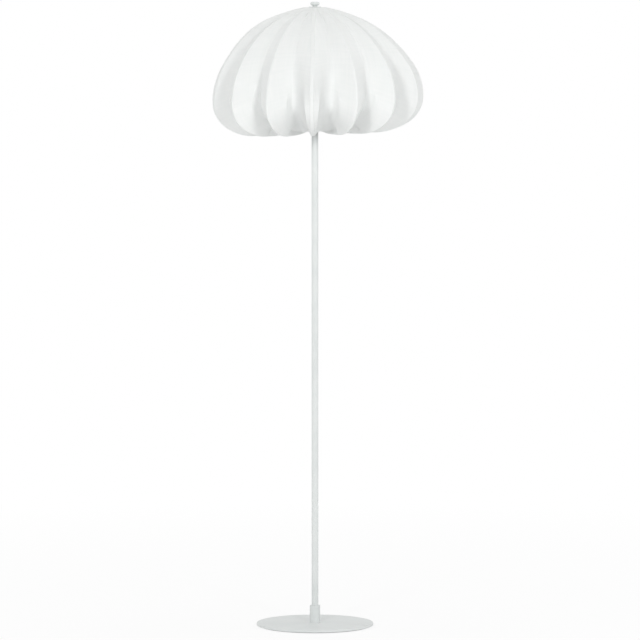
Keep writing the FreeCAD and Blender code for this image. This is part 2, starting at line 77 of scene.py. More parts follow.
# what the plain finishes share: where noise starts and ends to count, its detail and the bump's strength
finishLook = {"drift": (0.3, 0.7), "spread": 0.15, "detail": 3.0, "bump": 0.6}


def twoTone(tree, factor, low, high):
    # colour that drifts between two close shades, within spread of the factor's middle
    spread = finishLook["spread"]
    ramp = addNode(tree, "ShaderNodeValToRGB", {"Fac": factor})
    first, last = ramp.color_ramp.elements
    first.position, first.color = 0.5 - spread, hexToLinear(low)
    last.position, last.color = 0.5 + spread, hexToLinear(high)
    return ramp.outputs["Color"]


def surfaceFinish(name, low, high, rough, grain, depth, cloud, metallic=0.0, stretch=(1, 1, 1),
                  transmission=0.0):
    # grain and cloud are sizes in mm; depth is how far the grain stands up, in mm
    material, tree = newMaterial(name)
    place = addNode(tree, "ShaderNodeTexCoord").outputs["Object"]
    drawn = addNode(tree, "ShaderNodeMapping", {"Vector": place, "Scale": stretch}).outputs["Vector"]
    detail, (start, end) = finishLook["detail"], finishLook["drift"]
    grains = addNode(tree, "ShaderNodeTexNoise", {
        "Vector": drawn, "Scale": 1 / (grain * mm), "Detail": detail}).outputs["Fac"]
    clouds = addNode(tree, "ShaderNodeTexNoise", {
        "Vector": place, "Scale": 1 / (cloud * mm), "Detail": detail}).outputs["Fac"]
    roughness = addNode(tree, "ShaderNodeMapRange", {
        "Value": clouds, "From Min": start, "From Max": end, "To Min": rough[0], "To Max": rough[1]})
    bump = addNode(tree, "ShaderNodeBump", {
        "Height": grains, "Strength": finishLook["bump"], "Distance": depth * mm})
    shader = addNode(tree, "ShaderNodeBsdfPrincipled", {
        "Base Color": twoTone(tree, clouds, low, high), "Roughness": roughness.outputs["Result"],
        "Metallic": metallic, "Transmission Weight": transmission, "Normal": bump.outputs["Normal"]})
    addNode(tree, "ShaderNodeOutputMaterial", {"Surface": shader.outputs["BSDF"]})
    return material


clothLook = {
    "weave": 1.5, "wander": 1.2,          # thread spacing in mm, and how much the threads wander
    "slub": 5.0, "slubStretch": 0.06,     # slubs' width in mm, and their width as a share of their length
    "bump": 0.35, "bumpHeight": 0.2,      # bump height in mm
    "low": "F5F7F6", "high": "F9FAF9",
    "roughness": 0.88, "sheen": 0.08,
    "through": 0.22,                      # share of the light that comes through
}
waveScale = 314    # the scale at which the wave texture's bands are about 1 mm apart


def wovenCotton():
    # plain-woven cotton on a thin lining: matt, faint slubs along both threads, a little light comes through.
    # The threads are 0.35 mm apart in the real cloth and are drawn 1.5 mm apart, so that they show up close.
    material, tree = newMaterial("wovenCottonWhite")
    threads = addNode(tree, "ShaderNodeTexCoord").outputs["UV"]
    waves = []
    for direction in ("X", "Y"):
        waves.append(addNode(tree, "ShaderNodeTexWave", {
            "Vector": threads, "Scale": waveScale / clothLook["weave"], "Distortion": clothLook["wander"],
            "Detail": 1.0, "Detail Scale": 1.5},
            bands_direction=direction).outputs["Fac"])
    weave = addNode(tree, "ShaderNodeMath", {0: waves[0], 1: waves[1]},
                    operation="MULTIPLY").outputs["Value"]
    slubs = []
    thin = clothLook["slubStretch"]
    for stretch in ((1.0, thin, 1.0), (thin, 1.0, 1.0)):
        drawn = addNode(tree, "ShaderNodeMapping", {"Vector": threads, "Scale": stretch}).outputs["Vector"]
        slubs.append(addNode(tree, "ShaderNodeTexNoise", {
            "Vector": drawn, "Scale": 1 / (clothLook["slub"] * mm), "Detail": 2.0}).outputs["Fac"])
    slub = addNode(tree, "ShaderNodeMath", {0: slubs[0], 1: slubs[1]}, operation="ADD").outputs["Value"]
    half = addNode(tree, "ShaderNodeMath", {0: slub, 1: 0.5}, operation="MULTIPLY").outputs["Value"]
    height = addNode(tree, "ShaderNodeMath", {0: weave, 1: half}, operation="ADD").outputs["Value"]
    bump = addNode(tree, "ShaderNodeBump", {
        "Height": height, "Strength": clothLook["bump"], "Distance": clothLook["bumpHeight"] * mm})
    colour = twoTone(tree, half, clothLook["low"], clothLook["high"])
    front = addNode(tree, "ShaderNodeBsdfPrincipled", {
        "Base Color": colour, "Roughness": clothLook["roughness"], "IOR": 1.45,
        "Sheen Weight": clothLook["sheen"], "Normal": bump.outputs["Normal"]})
    glow = addNode(tree, "ShaderNodeBsdfTranslucent", {"Color": colour, "Normal": bump.outputs["Normal"]})
    both = addNode(tree, "ShaderNodeMixShader", {0: clothLook["through"], 1: front.outputs["BSDF"],
                                                 2: glow.outputs["BSDF"]})
    addNode(tree, "ShaderNodeOutputMaterial", {"Surface": both.outputs["Shader"]})
    return material


materials = {
    # powder coat, baked on steel: even satin white with a fine orange peel
    "powder_coat": surfaceFinish("powderCoatWhite", "D4D8D7", "DADDDC", (0.38, 0.50), 1.4, 0.03, 60),
    # closed-cell foam sheet: matt with open pores
    "foam_pad": surfaceFinish("foamSheetWhite", "DADAD8", "E4E4E2", (0.85, 0.95), 0.8, 0.25, 15),
    # zinc-plated steel: bright grey with drawn streaks
    "zinc_steel": surfaceFinish("zincPlatedSteel", "B9BCC0", "C9CBCE", (0.28, 0.42), 0.6, 0.02, 12, 1.0,
                                stretch=(1, 1, 0.15)),
    # moulded rubber: matt, a little warm
    "white_rubber": surfaceFinish("mouldedRubberWhite", "DEDEDA", "E6E6E3", (0.6, 0.75), 0.5, 0.04, 8),
    # brass, drawn and lacquered: warm yellow, brushed along its length
    "brass": surfaceFinish("lacqueredBrass", "BFA15A", "D2B76E", (0.22, 0.36), 0.5, 0.02, 10, 1.0,
                           stretch=(1, 1, 0.2)),
    # moulded thermoset holder: semi-gloss off-white
    "holder_plastic": surfaceFinish("mouldedHolderWhite", "E6E6E2", "ECECE8", (0.22, 0.32), 0.9, 0.02, 20),
    # pressed steatite ceramic: chalky white
    "ceramic": surfaceFinish("pressedSteatite", "E8E5DC", "F0EDE6", (0.5, 0.65), 0.6, 0.05, 10),
    # pressed aluminium screw cap: pale and bright
    "bulb_cap": surfaceFinish("pressedAluminium", "CBCCD0", "DADBDE", (0.22, 0.34), 0.7, 0.02, 9, 1.0),
    # black glass-filled insulator: glossy
    "bulb_insulator": surfaceFinish("blackVitrite", "0E0E10", "16161A", (0.08, 0.16), 1.0, 0.03, 6),
    # opal glass, blown: milky with a clean gloss
    "opal_glass": surfaceFinish("opalBlownGlass", "F3F1EB", "F8F7F3", (0.10, 0.16), 9.0, 0.02, 30,
                                transmission=0.2),
    # lacquered spring steel strip: satin white, rolled along its length
    "rib_steel": surfaceFinish("lacqueredSpringSteel", "E2E3E2", "EAEAE9", (0.35, 0.45), 0.8, 0.02, 25),
    "shade_fabric": wovenCotton(),
}
for row in frame["record"]["subparts"]:
    slots = frame["nodes"][row["node"]].data.materials
    slots.clear()
    slots.append(materials[row["material_slot"]])
print("materials", len(materials))


# metres: a long lens from far off; frameWidth is how much the square picture takes in at the pole
cameraView = {"height": 1.6, "distance": 11.4, "side": 0.012, "aimHeight": 0.7360, "frameWidth": 1.531}
sensorWidth = 36    # mm


def addCamera():
    eye = Vector((cameraView["side"], -cameraView["distance"], cameraView["height"]))
    aim = Vector((cameraView["side"], 0, cameraView["aimHeight"]))
    camera = bpy.data.objects.new("camera", bpy.data.cameras.new("camera"))
    bpy.context.scene.collection.objects.link(camera)
    camera.data.sensor_width = sensorWidth
    camera.data.lens = sensorWidth * (aim - eye).length / cameraView["frameWidth"]
    camera.data.clip_end = 500    # the floor reaches far
    camera.location = eye
    camera.rotation_euler = (aim - eye).to_track_quat("-Z", "Y").to_euler()
    bpy.context.scene.camera = camera


# places and sizes in metres, powers in watts
lamps = {
    "keyLight": {"place": (-1.9, -5.4, 2.5), "size": 0.9, "power": 92},
    "fillLight": {"place": (2.1, -5.4, 2.3), "size": 0.9, "power": 89},
    "topLight": {"place": (0.3, 0.6, 4.6), "size": 3.0, "power": 30},
    "sideLightLeft": {"place": (-5.0, 1.4, 3.0), "size": 2.4, "power": 62},
    "sideLightRight": {"place": (5.0, 1.4, 3.0), "size": 2.4, "power": 66},
}
lampAim = Vector((0, 0, 1.0))
worldLight = 0.44    # what the white surroundings give; the camera sees them at full strength


def addLamps():
    for name, lamp in lamps.items():
        light = bpy.data.lights.new(name, "AREA")
        light.shape, light.size, light.energy = "DISK", lamp["size"], lamp["power"]
        holder = bpy.data.objects.new(name, light)
        holder.location = lamp["place"]
        holder.rotation_euler = (lampAim - Vector(lamp["place"])).to_track_quat("-Z", "Y").to_euler()
        bpy.context.scene.collection.objects.link(holder)


def seenDirectly(tree):
    # 1 for what the camera sees, also in a reflection or through glass, and 0 for light that falls on things
    path = addNode(tree, "ShaderNodeLightPath").outputs
    first = addNode(tree, "ShaderNodeMath", {0: path["Is Camera Ray"], 1: path["Is Glossy Ray"]},
                    operation="MAXIMUM").outputs["Value"]
    return addNode(tree, "ShaderNodeMath", {0: first, 1: path["Is Transmission Ray"]},
                   operation="MAXIMUM").outputs["Value"]


def addWorld():
    world = bpy.data.worlds.new("studio")
    bpy.context.scene.world = world
    world.use_nodes = True
    tree = world.node_tree
    tree.nodes.clear()
    seen = seenDirectly(tree)
    strength = addNode(tree, "ShaderNodeMapRange", {
        "Value": seen, "To Min": worldLight, "To Max": 1.0}).outputs["Result"]
    white = addNode(tree, "ShaderNodeBackground", {"Color": (1, 1, 1, 1), "Strength": strength})
    addNode(tree, "ShaderNodeOutputWorld", {"Surface": white.outputs["Background"]})


# metres: the floor lies just under the lamp's pad, and its shadow fades out between fadeFrom and fadeTo
floorLook = {"reach": 220.0, "under": 0.0002, "paint": "FAFAFA", "shadowShare": 0.17, "fadeFrom": 0.3,
             "fadeTo": 2.6}


def addFloor():
    # pale floor: near the lamp it keeps part of the real shadow, further out it becomes the white backdrop
    mesh = bpy.data.meshes.new("floor")
    reach = floorLook["reach"]
    corners = [(-reach, -reach), (reach, -reach), (reach, reach), (-reach, reach)]
    mesh.from_pydata([(x, y, -floorLook["under"]) for x, y in corners], [], [(0, 1, 2, 3)])
    floor = bpy.data.objects.new("floor", mesh)
    bpy.context.scene.collection.objects.link(floor)
    material, tree = newMaterial("paintedFloor")
    place = addNode(tree, "ShaderNodeTexCoord").outputs["Object"]
    away = addNode(tree, "ShaderNodeVectorMath", {0: place}, operation="LENGTH").outputs["Value"]
    keep = addNode(tree, "ShaderNodeMapRange", {
        "Value": away, "From Min": floorLook["fadeFrom"], "From Max": floorLook["fadeTo"],
        "To Min": 1 - floorLook["shadowShare"], "To Max": 1.0}).outputs["Result"]
    white = addNode(tree, "ShaderNodeMath", {0: keep, 1: seenDirectly(tree)},
                    operation="MULTIPLY").outputs["Value"]
    paint = addNode(tree, "ShaderNodeBsdfDiffuse", {"Color": hexToLinear(floorLook["paint"])})
    glow = addNode(tree, "ShaderNodeEmission", {"Color": (1, 1, 1, 1), "Strength": 1.0})
    mix = addNode(tree, "ShaderNodeMixShader", {
        0: white, 1: paint.outputs["BSDF"], 2: glow.outputs["Emission"]})
    addNode(tree, "ShaderNodeOutputMaterial", {"Surface": mix.outputs["Shader"]})
    mesh.materials.append(material)


addCamera()
addLamps()
addWorld()
addFloor()
bpy.context.scene.view_settings.view_transform = "Standard"
print("camera, light and floor")


def gridPiece(name, points, slotName, body, replaced=(), wrapAlong=False, capEnds=False, uv=None, crease=35):
    # points is rows x columns x 3 in mm and each cell of the grid is a face; the last column joins the first,
    # and with wrapAlong so does the last row
    rows, columns = points.shape[:2]
    index = np.arange(rows * columns).reshape(rows, columns)
    index = np.concatenate([index, index[:, :1]], axis=1)
    if wrapAlong:
        index = np.concatenate([index, index[:1]], axis=0)
    corners = [index[:-1, :-1], index[1:, :-1], index[1:, 1:], index[:-1, 1:]]
    quads = np.stack(corners, axis=-1).reshape(-1, 4)
    mesh = bpy.data.meshes.new(name)
    mesh.vertices.add(rows * columns)
    mesh.vertices.foreach_set("co", (points * mm).astype(np.float32).ravel())
    mesh.loops.add(quads.size)
    mesh.loops.foreach_set("vertex_index", quads.ravel().astype(np.int32))
    mesh.polygons.add(len(quads))
    mesh.polygons.foreach_set("loop_start", np.arange(0, quads.size, 4, dtype=np.int32))
    mesh.update(calc_edges=True)
    if uv is not None:
        mesh.uv_layers.new(name="threads").data.foreach_set("uv", uv.astype(np.float32).ravel())
    piece = bpy.data.objects.new(name, mesh)
    bpy.context.scene.collection.objects.link(piece)
    if uv is None:
        closeMesh(mesh, capEnds)
    mesh.validate()
    mesh.shade_smooth()
    mesh.set_sharp_from_angle(angle=math.radians(crease))
    mesh.materials.append(materials[slotName])
    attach(piece, body)
    if replaced:
        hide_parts(*replaced)
    return piece


def closeMesh(mesh, capEnds):
    # merge the poles and seams, fill open ends and turn every face outwards
    work = bmesh.new()
    work.from_mesh(mesh)
    bmesh.ops.remove_doubles(work, verts=work.verts, dist=0.001 * mm)
    bmesh.ops.dissolve_degenerate(work, edges=work.edges, dist=0.0005 * mm)
    if capEnds:
        bmesh.ops.holes_fill(work, edges=[edge for edge in work.edges if edge.is_boundary])
    bmesh.ops.recalc_face_normals(work, faces=work.faces)
    work.to_mesh(mesh)
    work.free()


def easedCorners(corners, steps=5):
    # each corner is (radius, height, ease): an eased corner becomes a short curve between its two sides
    places = np.array([corner[:2] for corner in corners], float)
    before, after = np.roll(places, 1, axis=0), np.roll(places, -1, axis=0)
    t = np.linspace(0, 1, steps)[:, None]
    outline = []
    for here, back, ahead, ease in zip(places, before, after, [corner[2] for corner in corners]):
        if ease == 0:
            outline.append(here[None])
            continue
        start = here + (back - here) / np.linalg.norm(back - here) * ease
        end = here + (ahead - here) / np.linalg.norm(ahead - here) * ease
        outline.append(start * (1 - t) ** 2 + here * 2 * t * (1 - t) + end * t ** 2)
    return np.concatenate(outline)


def turnedPiece(name, outline, slotName, body, replaced, segments=96, closed=True, ripple=None):
    # the (radius, height) outline swept round an upright axis: x = r cos a, y = r sin a
    angle = np.linspace(0, 2 * math.pi, segments, endpoint=False)[None, :]
    radius, height = outline[:, :1] + 0 * angle, outline[:, 1:] + 0 * angle
    if ripple is not None:
        radius = radius + ripple(angle, radius, height)
    points = np.stack([radius * np.cos(angle), radius * np.sin(angle), height], axis=-1)
    return gridPiece(name, points, slotName, body, replaced, wrapAlong=closed)


# the shade is ribs from a hub to a ring round the pole, with one sewn cloth over them
shadeShape = {
    "gores": 15, "frontTurn": -1.6,             # degrees from the front to the seam
    "crownRadius": 26, "mouthRadius": 50, "mouthRise": 14, "bellyRise": 8.0,
    "stepsPerArc": (11, 12, 15, 8),
    "thickness": 0.9, "crease": 28, "seed": 7,
    # tape over each rib: half width, lift off the rib, and the lift's share from the middle to the edge
    "tapeHalf": 2.6, "tapeLift": 0.5, "tapeSection": (1, 0.95, 0.7, 0), "tapePlace": (0, 0.4, 0.8, 1.0),
    "seamTapeHalf": 5.0, "seamLift": 1.1, "seamSection": (0.85, 1, 1, -1.3),
    "depth": 0.86,                              # how far the cloth sinks towards the sharp valley
    "crownDepth": 0.75,                         # share of that depth near the crown, where the cloth is taut
    "depthVary": 0.04, "valleySwing": 0.5,      # how the gores differ; the swing is in degrees
    "hammock": 7,                               # power of the valley's rounding: straight flanks, soft floor
    # a petal is the outer face beside a rib: its share of the half gore, how fast it narrows to its tip,
    # and how far it sinks before its fold; the seam's two petals are narrow and flat
    "petal": (0.82, 0.40, 0.60), "seamPetal": (0.32, 0.90, 0.06), "petalVary": 0.05, "leastPetal": 0.04,
    "dive": 1.9,                                # power of the turn from a petal's fold down to the valley
    "petalSteps": 5, "diveSteps": 7,
    # a ripple is (waves across a gore, slant, height in mm), and the heights vary from gore to gore
    "ripples": ((3, 2.2, 0.55), (5, -3.1, 0.35), (7, 4.3, 0.22)), "rippleVary": (0.6, 1.2),
    "middleRipple": 0.45, "crownRipple": 0.8, "mouthRipple": 1.0,    # strengths, added up
    "crownShares": (0.135, 0.4, 0.7, 0.88),     # rings between the stud's hole and the crown's rim
    "hemTurns": ((0.975, 0.25), (0.955, 0.9)),  # the hem's (share of radius, rise) as it turns up inside
}
# where things happen along the profile, counted in nodes passed: 0 is the crown, 1 the shoulder,
# 2 the widest place, 3 the lowest and 4 the mouth
along = {
    "taut": (0.6, 1.9), "fold": (1.8, 2.1), "lowest": 3,
    "tapeIn": (0.0, 0.15), "tapeOut": (3.2, 3.7),
    "rippleIn": (0.05, 0.3), "rippleOut": (3.6, 3.95), "crownRipple": (0.1, 0.9), "mouthRipple": (2.7, 3.3),
}
# the shade has settled: its left side hangs lower by droop degrees and is pressed in by pressedIn mm
settling = {"droop": 1.8, "droopDepth": (60, 230),
            "pressedIn": 13.0, "pressedFrom": 180, "pressedWidth": 34, "pressedRadius": (120, 250)}
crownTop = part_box("shade_cloth")[1].z / mm
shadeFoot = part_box("shade_cloth")[0].z / mm
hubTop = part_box("shade_hub")[1].z / mm
mouthHeight = shadeFoot + shadeShape["mouthRise"]
crownRadius, mouthRadius = shadeShape["crownRadius"], shadeShape["mouthRadius"]
# nodes of the ridge over a rib and of the valley between two: (radius, height, direction in degrees)
ridgeNodes = [(crownRadius, crownTop, -12), (178, crownTop - 70, -41.5), (259, shadeFoot + 89, -90),
              (152, shadeFoot + shadeShape["bellyRise"], 180), (mouthRadius, mouthHeight, 170)]
# radius at the middle of a straight edge between two ribs, as a share of the radius at the ribs
flatShare = math.cos(math.radians(180 / shadeShape["gores"]))
valleyNodes = [(crownRadius * flatShare, crownTop, -12), (163, crownTop - 76, -45),
               (208, shadeFoot + 116, -90), (122, shadeFoot + 38, 203),
               (mouthRadius * flatShare, mouthHeight, 190)]


def arcPoints(start, heading, end, t):
    # an arc that leaves start along heading: the chord to a point at share t has length L sin(dt) / sin(d)
    # and direction heading + dt, where d is the angle from the heading to the whole chord
    chord = end - start
    turn = math.atan2(chord[1], chord[0]) - heading
    turn = (turn + math.pi) % (2 * math.pi) - math.pi
    reach = t if abs(turn) < 1e-6 else np.sin(turn * t) / math.sin(turn)
    way = heading + turn * t
    return start + np.linalg.norm(chord) * (reach * np.stack([np.cos(way), np.sin(way)])).T


def profileCurve(nodes, stepsPerArc):
    # two tangent arcs between each pair of (radius, height, direction) nodes; u counts the nodes passed
    points, count = [], []
    for place, (first, second) in enumerate(zip(nodes, nodes[1:])):
        start, end = np.array(first[:2], float), np.array(second[:2], float)
        a, b = math.radians(first[2]), math.radians(second[2])
        leave, arrive = np.array([math.cos(a), math.sin(a)]), np.array([math.cos(b), math.sin(b)])
        span, spread = end - start, 2 * (1 - leave @ arrive)
        both = span @ (leave + arrive)
        if spread < 1e-6:
            reach = span @ span / (4 * span @ arrive)
        else:
            reach = (math.sqrt(both * both + spread * span @ span) - both) / spread
        knee = (start + end + (leave - arrive) * reach) / 2
        t = np.linspace(0, 1, stepsPerArc[place] + 1)
        points += [arcPoints(start, a, knee, t)[:-1], arcPoints(end, b + math.pi, knee, t)[::-1][:-1]]
        count += [place + t[:-1] / 2, place + 0.5 + t[:-1] / 2]
    return np.concatenate(points + [[nodes[-1][:2]]]), np.concatenate(count + [[len(nodes) - 1.0]])


def outwardNormal(curve):
    # the left side of a curve that runs from the crown to the mouth
    heading = np.gradient(curve, axis=0)
    heading /= np.linalg.norm(heading, axis=1)[:, None]
    return np.stack([-heading[:, 1], heading[:, 0]], axis=1)


def ribAngle(index):
    return math.radians(shadeShape["frontTurn"] - 90 + 360 / shadeShape["gores"] * index)


def standing(angle, radius, side, height):
    # a point at a radius along an angle from the pole, moved sideways by side
    return np.stack([radius * math.cos(angle) - side * math.sin(angle),
                     radius * math.sin(angle) + side * math.cos(angle), height + 0 * side], axis=-1)


def smoothStep(value, low, high):
    # 0 up to low and 1 from high, with 3 t^2 - 2 t^3 between them
    t = np.clip((value - low) / (high - low), 0, 1)
    return t * t * (3 - 2 * t)


def inAndOut(value, fadeIn, fadeOut):
    # 0, then 1 from the end of the range fadeIn to the start of the range fadeOut, then 0
    return smoothStep(value, *fadeIn) * (1 - smoothStep(value, *fadeOut))


def settled(points):
    # height changes by x times the tangent of droop, growing with depth under the crown, and the radius
    # shrinks by a bell curve of the angle round the pressed side
    x, y, z = points[..., 0], points[..., 1], points[..., 2]
    radius = np.hypot(x, y)
    droop = math.tan(math.radians(settling["droop"])) * smoothStep(crownTop - z, *settling["droopDepth"])
    apart = np.degrees(np.angle(np.exp(1j * (np.arctan2(y, x) - math.radians(settling["pressedFrom"])))))
    bell = np.exp(-(apart / settling["pressedWidth"]) ** 2)
    press = settling["pressedIn"] * bell * smoothStep(radius, *settling["pressedRadius"])
    share = 1 - press / np.maximum(radius, 1)
    return np.stack([x * share, y * share, z + x * droop], axis=-1)


def sinkShare(s, u, petal, dish):
    # share of the way to the valley at share s of the half gore: a soft hammock above, and below it a flat
    # petal up to its fold, from where the cloth dives in
    power = shadeShape["hammock"]
    hammock = (power * s - s ** power) / (power - 1)
    inside = np.clip((s - petal) / (1 - petal), 0, 1)
    dive = 1 - (1 - inside) ** shadeShape["dive"]
    folded = np.where(s <= petal, dish * s / petal, dish + (1 - dish) * dive)
    share = smoothStep(u, *along["fold"])
    return hammock * (1 - share) + folded * share


def shadePoints():
    # each gore is a band of columns: half the tape of the rib before it, down one petal into the valley, up
    # the other petal, and half the tape of the next rib
    shape = shadeShape
    random = np.random.default_rng(shape["seed"])
    ridge, u = profileCurve(ridgeNodes, shape["stepsPerArc"])
    valley, _ = profileCurve(valleyNodes, shape["stepsPerArc"])
    normal = outwardNormal(ridge)
    rows = len(u)
    foldStart, lowest = along["fold"][0], along["lowest"]
    lowering = np.clip((u - foldStart) / (lowest - foldStart), 0, 1)
    onPetal = np.arange(1, shape["petalSteps"] + 1) / shape["petalSteps"]
    onDive = np.arange(1, shape["diveSteps"] + 1) / shape["diveSteps"]
    tapePlace = np.array(shape["tapePlace"])
    gores = shape["gores"]
    depth = shape["depth"] * (1 + random.uniform(-shape["depthVary"], shape["depthVary"], gores))
    swing = np.radians(random.uniform(-shape["valleySwing"], shape["valleySwing"], gores))
    taut = shape["crownDepth"] + (1 - shape["crownDepth"]) * smoothStep(u, *along["taut"])
    fade = inAndOut(u, along["tapeIn"], along["tapeOut"])    # the tapes run out at crown and mouth
    bands = []
    for gore in range(gores):
        corners = {}
        for side, rib in ((1, gore), (-1, (gore + 1) % gores)):
            if rib == 0:
                half, lift = shape["seamTapeHalf"], np.array(shape["seamSection"]) * shape["seamLift"]
            else:
                half, lift = shape["tapeHalf"], np.array(shape["tapeSection"]) * shape["tapeLift"]
            raised = ridge[:, None, :] + normal[:, None, :] * (lift[None, :, None] * fade[:, None, None])
            across = side * half * tapePlace[None, :]
            corners[side] = standing(ribAngle(rib), raised[..., 0], across, raised[..., 1])
        near, far = corners[1][:, -1], corners[-1][:, -1]
        middle = (near + far) / 2
        deepAngle = ribAngle(gore + 0.5) + swing[gore]
        deep = standing(deepAngle, valley[:, 0], np.zeros(rows), valley[:, 1])
        drop = (deep - middle) * depth[gore] * taut[:, None]
        drop[-1] = deep[-1] - middle[-1]
        flanks = {}
        for side, own, other in ((1, near, far), (-1, far, near)):
            rib = gore if side == 1 else (gore + 1) % gores
            widest, narrowing, dish = shape["seamPetal" if rib == 0 else "petal"]
            widest = widest * (1 + random.uniform(-1, 1) * shape["petalVary"])
            petal = np.where(u < lowest, widest * (1 - lowering) ** narrowing, 0)
            petal = np.maximum(petal, shape["leastPetal"])[:, None]
            s = np.concatenate([petal * onPetal, petal + (1 - petal) * onDive], axis=1)
            sink = sinkShare(s, u[:, None], petal, dish)
            level = own[:, None] + (other - own)[:, None] * s[..., None] / 2
            flanks[side] = level + drop[:, None] * sink[..., None]
        band = [corners[1], flanks[1], flanks[-1][:, -2::-1], corners[-1][:, :0:-1]]
        bands.append(np.concatenate(band, axis=1))
    points = np.concatenate(bands, axis=1)
    return points, u, len(bands[0][0])


def ripplesOnCloth(points, u, perGore):
    # soft pulls in the cloth: a few slanted waves for each gore, strongest under the crown and at the mouth
    shape = shadeShape
    random = np.random.default_rng(shape["seed"] + 1)
    heading = np.gradient(points, axis=0)
    across = np.roll(points, -1, axis=1) - np.roll(points, 1, axis=1)
    normal = np.cross(heading, across)
    normal /= np.maximum(np.linalg.norm(normal, axis=2), 1e-9)[..., None]
    column = np.arange(points.shape[1])
    place = (column % perGore) / perGore
    rest = np.sin(math.pi * place) ** 2    # no ripple on the ribs
    height = np.zeros(points.shape[:2])
    for gore in range(shape["gores"]):
        mine = (column // perGore) == gore
        for turns, slant, size in shape["ripples"]:
            phase = random.uniform(0, 2 * math.pi)
            wave = np.sin(2 * math.pi * (turns * place[None, mine] + slant * u[:, None] / 2) + phase)
            height[:, mine] += size * wave * random.uniform(*shape["rippleVary"])
    crown = 1 - smoothStep(u, *along["crownRipple"])
    mouth = smoothStep(u, *along["mouthRipple"])
    strength = shape["middleRipple"] + shape["crownRipple"] * crown + shape["mouthRipple"] * mouth
    strength = strength * inAndOut(u, along["rippleIn"], along["rippleOut"])
    return points + normal * (height * strength[:, None] * rest[None, :])[..., None]


mapSpacing = 0.4    # metres from one gore's place on the thread map to the next


def threadMap(points, perGore):
    # each gore's own thread directions in metres: across from its middle, and down along its middle
    gores = points.shape[1] // perGore
    closed = np.concatenate([points, points[:, :1]], axis=1)
    quads = []
    for gore in range(gores):
        band = closed[:, gore * perGore:(gore + 1) * perGore + 1] * mm
        step = np.linalg.norm(np.diff(band, axis=1), axis=2)
        across = np.concatenate([np.zeros((len(band), 1)), np.cumsum(step, axis=1)], axis=1)
        across = across - across[:, -1:] / 2
        middle = band[:, perGore // 2]
        down = np.concatenate([[0], np.cumsum(np.linalg.norm(np.diff(middle, axis=0), axis=1))])
        uv = np.stack([across + mapSpacing * gore, down[:, None] + 0 * across], axis=-1)
        quads.append(np.stack([uv[:-1, :-1], uv[1:, :-1], uv[1:, 1:], uv[:-1, 1:]], axis=2))
    return np.concatenate(quads, axis=1)


def shadeCloth():
    points, u, perGore = shadePoints()
    points = ripplesOnCloth(points, u, perGore)
    crown = [points[0] * [share, share, 1] for share in shadeShape["crownShares"]]
    hem = [points[-1] * [share, share, 1] + [0, 0, rise] for share, rise in shadeShape["hemTurns"]]
    points = settled(np.concatenate([np.stack(crown), points, np.stack(hem)]))
    cloth = gridPiece("shadeCloth", points, "shade_fabric", "shade", ("shade_cloth",),
                      uv=threadMap(points, perGore), crease=shadeShape["crease"])
    wall = cloth.modifiers.new("wall", "SOLIDIFY")
    wall.thickness, wall.offset = shadeShape["thickness"] * mm, -1
    return cloth, points


def easedSection(points, power):
    # a closed outline of half-size 1: the cosine and the sine of the turn, each raised to the power with its
    # sign kept, which is a circle at power 1 and squarer as the power falls
    turns = np.linspace(0, 2 * math.pi, points, endpoint=False)
    across = np.sign(np.cos(turns)) * np.abs(np.cos(turns)) ** power
    up = np.sign(np.sin(turns)) * np.abs(np.sin(turns)) ** power
    return across, up


stripSection = {"points": 16, "power": 0.45}    # every rib strip's


def carriedStrip(path, normal, side, width, thickness, angle):
    # an eased rectangle carried along a path of (radius, height) points that lies in an upright plane
    across, up = easedSection(stripSection["points"], stripSection["power"])
    across, up = across * width / 2, up * thickness / 2
    section = path[:, None, :] + normal[:, None, :] * up[None, :, None]
    return standing(angle, section[..., 0], side + across[None, :] + 0 * section[..., 0], section[..., 1])


# under is how far a rib's middle lies below the ridge of the cloth
ribShape = {"width": 3.0, "thickness": 1.4, "under": 2.6, "seamWidth": 2.2, "seamGap": 0.6,
            "startRadius": 16, "stepsPerArc": (6, 7, 9, 5)}


def ribPath():
    # from the hub's top, where the ribs lie flat, along the ridge
    curve, _ = profileCurve(ridgeNodes, ribShape["stepsPerArc"])
    normal = outwardNormal(curve)
    curve = curve - normal * ribShape["under"]
    low = hubTop + ribShape["thickness"] / 2
    curve[0, 1] = low
    path = np.concatenate([[[ribShape["startRadius"], low]], curve])
    return path, np.concatenate([[[0, 1]], normal])


def shadeRibs():
    path, normal = ribPath()
    for index in range(1, shadeShape["gores"]):
        strip = carriedStrip(path, normal, 0, ribShape["width"], ribShape["thickness"], ribAngle(index))
        gridPiece("shadeRib%02d" % index, settled(strip), "rib_steel", "shade", ("shade_rib_%02d" % index,),
                  capEnds=True)
    for name, side, replaced in (("seamRibLeft", -1, ("seam_rib",)), ("seamRibRight", 1, ())):
        place = side * (ribShape["seamWidth"] + ribShape["seamGap"]) / 2
        strip = carriedStrip(path, normal, place, ribShape["seamWidth"], ribShape["thickness"], ribAngle(0))
        gridPiece(name, settled(strip), "rib_steel", "shade", replaced, capEnds=True)


# the ring takes the ribs' lower ends, and the hem is the cloth's rolled edge, which waves a little in mm
ringShape = {"radius": 52.25, "width": 3.5, "height": 1.5, "lift": 4.35, "power": 0.45,
             "waveUp": 0.0, "waveOut": 0.0, "waves": 0}
hemShape = {"radius": 48.0, "width": 2.6, "height": 2.6, "lift": 1.0, "power": 1.0,
            "waveUp": 0.25, "waveOut": 0.15, "waves": 37}
ringSteps = {"round": 180, "section": 14}


